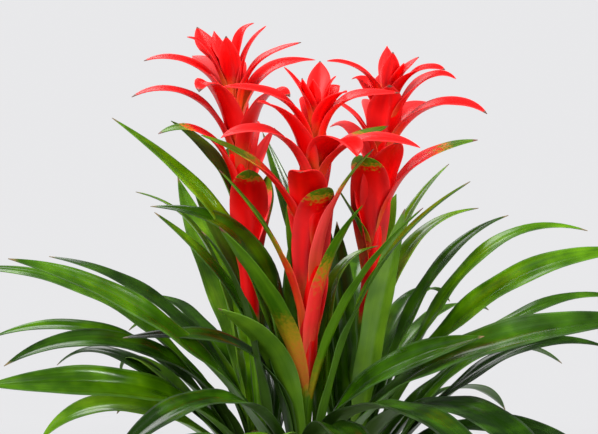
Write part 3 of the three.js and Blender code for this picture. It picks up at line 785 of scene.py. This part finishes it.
EFFECTS = {made.name: made for made in (lengthwise_streaks(), soft_patches(), dry_tip())}
print("shared effects:", ", ".join(EFFECTS))

# %% [markdown]
# ## The leaf's finish
# A leaf is a dark waxy green. Each has a tone of its own, and the green drifts in patches over it. Its
# upper face shines, its lower face is greyer and duller, its foot is paler, where less light reached, and
# its very edge is dull, so that it doesn't glitter. All of that is a chain of mixes, each with a mask,
# which is easy to read and to tune. The pleats in the mesh shape the shine, so no bump is needed.

# %% Make the leaf finish
LEAF_GREENS = [
    (0.0, (0.006, 0.024, 0.0)),
    (0.4, (0.032, 0.104, 0.0)),
    (0.7, (0.085, 0.220, 0.0)),
    (1.0, (0.200, 0.400, 0.003)),
]
LEAF_BELOW = (0.055, 0.115, 0.012)
LEAF_FOOT = (0.11, 0.19, 0.03)
LEAF_DRY = (0.20, 0.14, 0.06)
PATCH_DRIFT, VEIN_DRIFT = 2.6, 0.6
TONE_SPREAD, MIDDLE_TONE = 0.42, 0.38
UPPER_FACE = (-0.1, 0.2)
LEAF_FOOT_END = (0.01, 0.075)
DULL_EDGE = (0.8, 0.96)


def effect(tree, name, output, **values):
    """Places a shared effect in a material, with its own values, and gives one of its outputs."""
    return wire(tree, "ShaderNodeGroup", values, output, node_tree=EFFECTS[name])


def mix(mask, under, over):
    """The colour under, with the colour over laid on where the mask is 1."""
    made = add_node(mask.tree, "ShaderNodeMix", {0: mask}, data_type="RGBA")
    for place, colour in ((6, under), (7, over)):
        feed(colour if isinstance(colour, Wire) else (*colour, 1), made.inputs[place])
    return Wire(mask.tree, made.outputs[2])


def ramp(value, stops):
    """Colours along a number from 0 to 1, as (place, colour)."""
    made = add_node(value.tree, "ShaderNodeValToRGB", {"Fac": value})
    points = made.color_ramp.elements
    while len(points) < len(stops):
        points.new(0.5)
    for point, (place, colour) in zip(points, stops):
        point.position = place
        point.color = (*colour, 1)
    return Wire(value.tree, made.outputs["Color"])


def open_material(name):
    """A new material, with its tree and its Principled node's inputs."""
    material = bpy.data.materials.new(name)
    material.use_nodes = True
    tree = material.node_tree
    return material, tree, tree.nodes["Principled BSDF"].inputs


def bumped(height, strength, distance):
    """A normal that follows a height."""
    return wire(
        height.tree, "ShaderNodeBump", {"Height": height, "Strength": strength, "Distance": distance})


def leaf_finish():
    material, tree, skin = open_material("waxy_leaf")
    patch = effect(tree, "soft_patches", "Patch", Scale=30.0)
    vein = effect(tree, "lengthwise_streaks", "Vein", Streaks=2.2, Stretch=2.5)
    drift = (patch - 0.5) * PATCH_DRIFT + (vein - 0.5) * VEIN_DRIFT
    colour = ramp((read(tree, "tone") + drift) * TONE_SPREAD + MIDDLE_TONE, LEAF_GREENS)
    lower = (read(tree, "upper") * -1).step(*UPPER_FACE)
    colour = mix(lower * 0.5, colour, LEAF_BELOW)
    foot = 1 - read(tree, "walked").step(*LEAF_FOOT_END)
    colour = mix(foot * 0.3, colour, LEAF_FOOT)
    dry = effect(tree, "dry_tip", "Dry", Start=0.972, Unevenness=0.03)
    feed(mix(dry, colour, LEAF_DRY), skin["Base Color"])
    edge = abs(read(tree, "across")).step(*DULL_EDGE)
    feed(patch * 0.12 + 0.16 + (lower * 0.15).of("MAXIMUM", edge * 0.5), skin["Roughness"])
    skin["Specular IOR Level"].default_value = 0.5
    return material


WAXY_LEAF = leaf_finish()
print("made", WAXY_LEAF.name, "with", len(WAXY_LEAF.node_tree.nodes), "nodes")

# %% [markdown]
# ## The bract's finish
# A bract is a saturated satin red. Its tone makes it deeper or pinker, and the pink is painted sheen.
# Painted shade makes it deepest where its neighbours clasp it. Its edges are a little paler, and inside
# its foot it turns to orange and yellow. A green tip isn't painted over the red: the red gives way through
# a ragged band of yellow, which is wider on a bract that turns green low down. Some tips are withered.

# %% Make the bract finish
BRACT_REDS = [(0.0, (0.36, 0.0, 0.002)), (0.4, (0.80, 0.0, 0.0)), (0.7, (1.0, 0.001, 0.001))]
# Pale pink, for the paler bract edges and for painted sheen.
BRACT_PALE_AND_SHEEN = (1.0, 0.090, 0.090)
BRACT_FOOT = (0.62, 0.15, 0.025)
BRACT_THROAT = (0.90, 0.36, 0.05)
BRACT_YELLOW = (0.46, 0.25, 0.012)
BRACT_GREENS = [(0.3, (0.035, 0.11, 0.002)), (0.7, (0.12, 0.27, 0.005))]
BRACT_DRY = (0.16, 0.06, 0.04)
# Along the bract, where the painted shade of its clasping neighbours fades out.
CLASP_SHADE_SPAN = (0.15, 0.65)
BRACT_FOOT_END = (0.05, 0.36)
RAGGED = 0.12
BORDER_SPREAD, BORDER_LEAST = 2.5, 0.3
YELLOW_BAND, GREEN_BAND = (-0.20, -0.04), (-0.10, 0.07)
WITHERED = (0.3, 0.6)


def bract_finish():
    material, tree, skin = open_material("satin_bract")
    streak = effect(tree, "lengthwise_streaks", "Streak", Streaks=3.0, Stretch=14.0)
    patch = effect(tree, "soft_patches", "Patch", Scale=24.0)
    speckle = effect(tree, "soft_patches", "Patch", Scale=260.0)
    tone, along = read(tree, "tone"), read(tree, "along")
    shade = streak * 0.5 + patch * 0.5
    # Painted shade: the red is darker low on the bract, where its neighbours clasp it.
    painted_clasp_shade = 1 - along.step(*CLASP_SHADE_SPAN)
    deep = painted_clasp_shade * -0.5 + tone.of("MINIMUM", 0)
    red = ramp(shade + deep * 0.5, BRACT_REDS)
    edge = abs(read(tree, "across")) ** 5
    # Painted sheen: bracts with a tone above 0 are mixed towards pale pink, which stands in for their shine.
    painted_sheen = tone.of("MAXIMUM", 0) * (shade * 1.6 + 0.2)
    red = mix((edge * 0.25 + painted_sheen).of("MINIMUM", 1), red, BRACT_PALE_AND_SHEEN)
    ragged = (patch - 0.5) * RAGGED + (speckle - 0.5) * RAGGED
    foot = 1 - (along + ragged).step(*BRACT_FOOT_END)
    inside = read(tree, "upper").step(*UPPER_FACE)
    red = mix(foot * 0.55, red, BRACT_FOOT)
    red = mix(foot * inside * 0.7, red, BRACT_THROAT)
    border = (1 - along) ** 2 * BORDER_SPREAD + BORDER_LEAST
    ripe = ((speckle - 0.5) * 0.1 + ragged + read(tree, "green")) / border
    colour = mix(ripe.step(*YELLOW_BAND), red, BRACT_YELLOW)
    colour = mix(ripe.step(*GREEN_BAND), colour, ramp(shade, BRACT_GREENS))
    withered = (read(tree, "blade") * 3.7).of("FRACT").step(*WITHERED)
    dry = effect(tree, "dry_tip", "Dry", Start=0.96, Unevenness=0.04)
    feed(mix(dry * withered, colour, BRACT_DRY), skin["Base Color"])
    feed(streak * 0.16 + 0.30 + edge * 0.3, skin["Roughness"])
    skin["Specular IOR Level"].default_value = 0.2
    return material


SATIN_BRACT = bract_finish()
print("made", SATIN_BRACT.name, "with", len(SATIN_BRACT.node_tree.nodes), "nodes")

# %% [markdown]
# ## Grow the rosettes
# A leaf springs from a ring on the crown. The flatter it starts, the further out and the lower it leaves
# the crown, as an older leaf does. Each rosette becomes one piece and takes its solid's place. Its crown
# is simply sunk in the mix, where the solids have a hole for it, because nobody sees that joint.

# %% Leaves of the three plants
LEAF_FOOT_RISE, LEAF_FOOT_DROP = 22, 0.3
LEAF_FOOT_OUT, LEAF_FOOT_SPREAD = 10, 0.25
LEAF_ATTRIBUTES = ("along", "walked", "tone", "blade", "across", "upper")


def outwards(azimuth_degrees):
    """The level direction of an azimuth."""
    azimuth = math.radians(azimuth_degrees)
    return np.array([math.cos(azimuth), math.sin(azimuth), 0])


for plant, rows in LEAVES.items():
    ribs = Ribs()
    add_upright(ribs, plant, CROWN, ([0, 200], [-1, -1]))
    for *row, tone in rows:
        leaning = 90 - row[3]
        foot = axis_point(plant, MIX_LEVEL + LEAF_FOOT_RISE - LEAF_FOOT_DROP * leaning)
        base = foot + outwards(row[0]) * (LEAF_FOOT_OUT + LEAF_FOOT_SPREAD * leaning)
        add_blade(ribs, LEAF, base, row, 1, tone)
    piece = grow("leaves_" + plant, ribs.mesh("ribs"), BLADES, {
        "Section points": 40, "Fold rounding": 0.10, "Edge droop": 0.07, "Wave length": 0.085,
        "Pleats": 2.6, "Pleat height": 0.10, "Material": WAXY_LEAF})
    keep_only(piece.data, LEAF_ATTRIBUTES)
    print(plant, "rosette holds", round(face_outwards(piece)), "cm3 of leaf")
    finished(piece, "rosette_" + plant)

# %% [markdown]
# ## Grow the spikes
# The bracts wind up the stem in overlapping rings. Each springs from just under the stem's skin, so that
# no foot hangs in the air. The stem is green below its lowest bract and red where the bracts clasp it.

# %% Bracts of the three plants
BRACT_FOOT_OUT = 7
BRACT_ATTRIBUTES = ("along", "walked", "green", "tone", "blade", "across", "upper")
for plant, rows in BRACTS.items():
    ribs = Ribs()
    lowest = min(row[0] for row in rows)
    add_upright(ribs, plant, stem_profile(plant), ([lowest - 20, lowest + 60], [0.5, -1]))
    for height, *row, green_from, tone in rows:
        base = axis_point(plant, height) + outwards(row[0]) * BRACT_FOOT_OUT
        add_blade(ribs, BRACT, base, row, green_from, tone)
    piece = grow("bracts_" + plant, ribs.mesh("ribs"), BLADES, {
        "Section points": 32, "Fold rounding": 0.4, "Edge droop": 0.05, "Wave length": 0.05,
        "Pleats": 2.2, "Pleat height": 0.07, "Material": SATIN_BRACT})
    keep_only(piece.data, BRACT_ATTRIBUTES)
    print(plant, "spike holds", round(face_outwards(piece)), "cm3 of bract and stem")
    finished(piece, "spike_" + plant)

# %% [markdown]
# ## The pot
# The pot is turned, so a lathe makes it: a profile goes round the axis. The solid has 48 flat sides. Here
# the corners of the profile are rounded first and the lathe takes 160 steps, which gives the soft edges
# that a dipped glaze has.

# %% Turn the pot
POT_HEIGHT, POT_FOOT_RADIUS, POT_SPREAD = 135, 56, 25.5
POT_WALL, POT_FLOOR, MIX_GAP = 5, 6, 0.3
LATHE_SIDES = 160
LONGEST_CUT = 0.45


def pot_radius(z):
    """The radius of the pot's outer wall at a height."""
    return POT_FOOT_RADIUS + POT_SPREAD * z / POT_HEIGHT


def rounded(profile, radius, steps=5):
    """A profile with each inner corner cut back and replaced by a short curve."""
    made = [np.array(profile[0], float)]
    for before, corner, after in zip(profile, profile[1:], profile[2:]):
        before, corner, after = (np.array(spot, float) for spot in (before, corner, after))
        lengths = [np.linalg.norm(end - corner) for end in (before, after)]
        cut = min(radius, LONGEST_CUT * min(lengths))
        start, stop = (corner + (end - corner) * cut / length
                       for end, length in zip((before, after), lengths))
        for t in np.linspace(0, 1, steps):
            made.append((1 - t) ** 2 * start + 2 * t * (1 - t) * corner + t**2 * stop)
    made.append(np.array(profile[-1], float))
    return np.array(made)


def lathe(name, profile, sides=LATHE_SIDES):
    """A closed turned mesh. The profile's first and last points are on the axis."""
    angles = np.linspace(0, 2 * math.pi, sides, endpoint=False)
    points = [(0, 0, profile[0][1])]
    points += [(r * math.cos(a), r * math.sin(a), z) for r, z in profile[1:-1] for a in angles]
    points.append((0, 0, profile[-1][1]))
    last = len(profile) - 3

    def at(ring, k):
        return 1 + ring * sides + k % sides

    faces = [(0, at(0, k + 1), at(0, k)) for k in range(sides)]
    faces += [(at(ring, k), at(ring, k + 1), at(ring + 1, k + 1), at(ring + 1, k))
              for ring in range(last) for k in range(sides)]
    faces += [(at(last, k), at(last, k + 1), len(points) - 1) for k in range(sides)]
    mesh = bpy.data.meshes.new(name)
    mesh.from_pydata((np.array(points) * MM).tolist(), [], faces)
    mesh.polygons.foreach_set("use_smooth", [True] * len(mesh.polygons))
    piece = bpy.data.objects.new(name, mesh)
    bpy.context.collection.objects.link(piece)
    return piece


POT_PROFILE = [
    (0, 3), (44, 3), (46, 0), (54, 0), (56.4, 2), (pot_radius(119), 119), (83.2, 120.5), (84, 133),
    (82, POT_HEIGHT), (pot_radius(POT_HEIGHT) - POT_WALL, POT_HEIGHT),
    (pot_radius(POT_FLOOR) - POT_WALL, POT_FLOOR), (0, POT_FLOOR),
]
pot = lathe("glazed_pot", rounded(POT_PROFILE, 2.5))
print("the pot holds", round(face_outwards(pot)), "cm3 of clay")

# %% [markdown]
# ## The glaze
# Off-white glaze is never one flat colour. It pools a little, thins over the rim's edge, where the clay
# warms it, and carries fine specks. Its gloss is broken by faint waves, so highlights aren't ruler
# straight. The foot ring stays unglazed, because a pot stands on it in the kiln.

# %% Glaze the pot
GLAZE = [(0.3, (0.70, 0.69, 0.65)), (0.7, (0.80, 0.79, 0.75))]
GLAZE_THIN = (0.62, 0.50, 0.38)
GLAZE_SPECK = (0.40, 0.33, 0.26)
BARE_CLAY = (0.58, 0.44, 0.32)


def glaze_finish():
    material, tree, skin = open_material("off_white_glaze")
    spot = here(tree)
    pooled = effect(tree, "soft_patches", "Patch", Scale=22.0)
    height = wire(tree, "ShaderNodeSeparateXYZ", {0: spot}, "Z")
    colour = mix(height.step(0.1325, 0.1352) * 0.5, ramp(pooled, GLAZE), GLAZE_THIN)
    speck = wire(tree, "ShaderNodeTexVoronoi", {"Vector": spot, "Scale": 420.0}, "Distance")
    colour = mix((1 - speck.step(0.05, 0.12)) * 0.5, colour, GLAZE_SPECK)
    bare = 1 - height.step(0.0015, 0.0030)
    feed(mix(bare, colour, BARE_CLAY), skin["Base Color"])
    feed(pooled * 0.1 + 0.14 + bare * 0.5, skin["Roughness"])
    feed(bumped(pooled, 0.25, 0.004), skin["Normal"])
    skin["Coat Weight"].default_value = 0.3
    skin["Coat Roughness"].default_value = 0.08
    return material


pot.data.materials.append(glaze_finish())
finished(pot, "pot")

# %% [markdown]
# ## The potting mix
# Bromeliads grow in a coarse mix of bark and peat. A low dome with a rough surface stands for the fine
# part. It is turned on the same lathe as the pot, and its colour mixes fine crumb with larger lumps.

# %% Heap the mix
MIX_FOOT = POT_FLOOR + MIX_GAP
MIX_PROFILE = [
    (0, MIX_FOOT), (pot_radius(MIX_FOOT) - POT_WALL - MIX_GAP, MIX_FOOT),
    (pot_radius(MIX_LEVEL) - POT_WALL - MIX_GAP, MIX_LEVEL), (60, 121.2), (48.5, 122.1),
    (36, 122.5), (24, 122.8), (12, 122.95), (0, 123),
]
BARK_BROWNS = [(0.2, (0.020, 0.012, 0.007)), (0.5, (0.070, 0.040, 0.022)), (0.8, (0.190, 0.115, 0.065))]
mix_heap = lathe("bark_mix", rounded(MIX_PROFILE, 1.0, 3))


def mix_finish():
    material, tree, skin = open_material("bark_and_peat")
    spot = here(tree)
    crumb = noise(tree, spot, 260.0, 4.0)
    lump = wire(tree, "ShaderNodeTexVoronoi", {"Vector": spot, "Scale": 110.0}, "Color")
    warm = wire(tree, "ShaderNodeSeparateColor", {"Color": lump}, "Red")
    feed(ramp(crumb * 0.6 + warm * 0.4, BARK_BROWNS), skin["Base Color"])
    feed(bumped(crumb, 0.8, 0.002), skin["Normal"])
    skin["Roughness"].default_value = 0.9
    return material


BARK = mix_finish()
mix_heap.data.materials.append(BARK)
print("the mix fills", round(face_outwards(mix_heap)), "cm3")
finished(mix_heap, "potting_mix")

# %% [markdown]
# ## The bark chips
# The bark shows as separate chips that are mostly sunk in the dome. Hundreds of them are strewn by
# Geometry Nodes: points at random on a low cone just under the dome's skin, a flat block on each, turned
# and sized at random, and then every corner pushed by a noise, so no two chips are alike.

# %% Strew the bark chips
def chip_tree():
    """Strews flat ragged chips over a surface."""
    tree, given, done = open_tree("strewn_chips", "GeometryNodeTree", {
        "Geometry": ("Geometry", None),
        "Chips per square metre": ("Float", 42000.0),
        "Chip size": ("Float", 0.0075),
        "Raggedness": ("Float", 0.0035),
        "Seed": ("Int", 7),
        "Material": ("Material", None),
    }, {"Geometry": "Geometry"})
    seed = given["Seed"]
    points = wire(tree, "GeometryNodeDistributePointsOnFaces", {
        "Mesh": given["Geometry"], "Density": given["Chips per square metre"], "Seed": seed})
    block = wire(tree, "GeometryNodeMeshCube", {
        "Size": (1.0, 0.62, 0.34), "Vertices X": 4, "Vertices Y": 3, "Vertices Z": 2})
    spin = wire(tree, "FunctionNodeRandomValue", {
        "Min": (-0.5, -0.5, 0.0), "Max": (0.5, 0.5, 2 * math.pi), "Seed": seed}, data_type="FLOAT_VECTOR")
    size = wire(tree, "FunctionNodeRandomValue", {2: 0.45, 3: 1.3, "Seed": seed}, 1, data_type="FLOAT")
    chips = wire(tree, "GeometryNodeInstanceOnPoints", {
        "Points": points, "Instance": block, "Rotation": spin, "Scale": size * given["Chip size"]})
    chips = wire(tree, "GeometryNodeRealizeInstances", {"Geometry": chips})
    push = wire(tree, "ShaderNodeTexNoise", {"Scale": 160.0, "Detail": 1.0}, "Color")
    shift = push.vector("SUBTRACT", (0.5, 0.5, 0.5)).scaled(given["Raggedness"])
    chips = wire(tree, "GeometryNodeSetPosition", {"Geometry": chips, "Offset": shift})
    plain_result(chips, given, done)
    return tree


bed = lathe("bed", [(0, 120.2), (60, 120.6), (70, 120.2), (0, 120.1)], 48)
chips = grow("bark_chips", bed.data, chip_tree(), {"Material": BARK})
bpy.data.objects.remove(bed)
finished(chips, None)

# %% [markdown]
# ## Floor and light
# A plain pale floor and a pale surrounding keep the eye on the plant. Four soft lights stand around it:
# a strong key from the upper left and a glint from the upper right draw the long pale shine on the
# leaves, a low fill opens the shadows, and a weak window from behind outlines the bracts. Reflections
# see a dimmer sky than the camera does, so the greens stay deep. The standard view keeps the red pure,
# which a film-like view would fade.

# %% Build the studio
PALE = (0.81, 0.81, 0.825, 1)
FLOOR_GREY = (0.52, 0.52, 0.53, 1)
SKY = (0.95, 0.97, 1.0, 1)
MIDDLE = (0, 0, 0.38)
LIGHTS = {
    "key": ((-1.4, -1.3, 1.9), 0.6, 42),
    "fill": ((1.2, -1.9, 0.7), 1.2, 16),
    "glint": ((1.2, -0.6, 1.9), 0.6, 30),
    "window": ((-0.7, 1.2, 1.9), 0.9, 10),
}


def area_light(name, place, size, power):
    """A square soft light at a place, turned to the middle of the plant."""
    lamp = bpy.data.objects.new(name, bpy.data.lights.new(name, "AREA"))
    lamp.data.size = size
    lamp.data.energy = power
    lamp.location = place
    x, y, z = np.array(MIDDLE, float) - np.array(place, float)
    lamp.rotation_euler = (math.atan2(math.hypot(x, y), -z), 0, math.atan2(x, -y) + math.pi)
    bpy.context.collection.objects.link(lamp)


def lay_floor():
    """A wide matt floor that melts into the pale surrounding."""
    mesh = bpy.data.meshes.new("floor")
    mesh.from_pydata([(-20, -20, 0), (20, -20, 0), (20, 20, 0), (-20, 20, 0)], [], [(0, 1, 2, 3)])
    floor = bpy.data.objects.new("floor", mesh)
    bpy.context.collection.objects.link(floor)
    material, tree, skin = open_material("pale_floor")
    skin["Base Color"].default_value = FLOOR_GREY
    skin["Roughness"].default_value = 0.9
    skin["Specular IOR Level"].default_value = 0.1
    away = here(tree).vector("LENGTH", output=1).step(0.5, 1.5)
    matt = Wire(tree, tree.nodes["Principled BSDF"].outputs[0])
    glow = wire(tree, "ShaderNodeEmission", {"Color": PALE})
    blended = wire(tree, "ShaderNodeMixShader", {0: away, 1: matt, 2: glow})
    feed(blended, tree.nodes["Material Output"].inputs["Surface"])
    mesh.materials.append(material)


def surrounding():
    """A pale sky that the camera sees, and a dimmer one, brighter overhead, that lights the plant."""
    world = bpy.data.worlds.new("pale_surrounding")
    world.use_nodes = True
    tree = world.node_tree
    camera_ray, glossy_ray = (
        wire(tree, "ShaderNodeLightPath", output=sort) for sort in ("Is Camera Ray", "Is Glossy Ray"))
    direction = wire(tree, "ShaderNodeTexCoord", output="Generated")
    up = wire(tree, "ShaderNodeSeparateXYZ", {0: direction}, "Z")
    strength = (up.step(-0.2, 0.9) * 0.75 + 0.18) * (glossy_ray * -0.9 + 1)
    light = wire(tree, "ShaderNodeBackground", {"Color": SKY, "Strength": strength})
    seen = wire(tree, "ShaderNodeBackground", {"Color": PALE, "Strength": 1.0})
    both = wire(tree, "ShaderNodeMixShader", {0: camera_ray, 1: light, 2: seen})
    feed(both, tree.nodes["World Output"].inputs["Surface"])
    return world


lay_floor()
for name, (place, size, power) in LIGHTS.items():
    area_light(name, place, size, power)
bpy.context.scene.world = surrounding()
bpy.context.scene.view_settings.view_transform = "Standard"
print("lights:", ", ".join(LIGHTS))
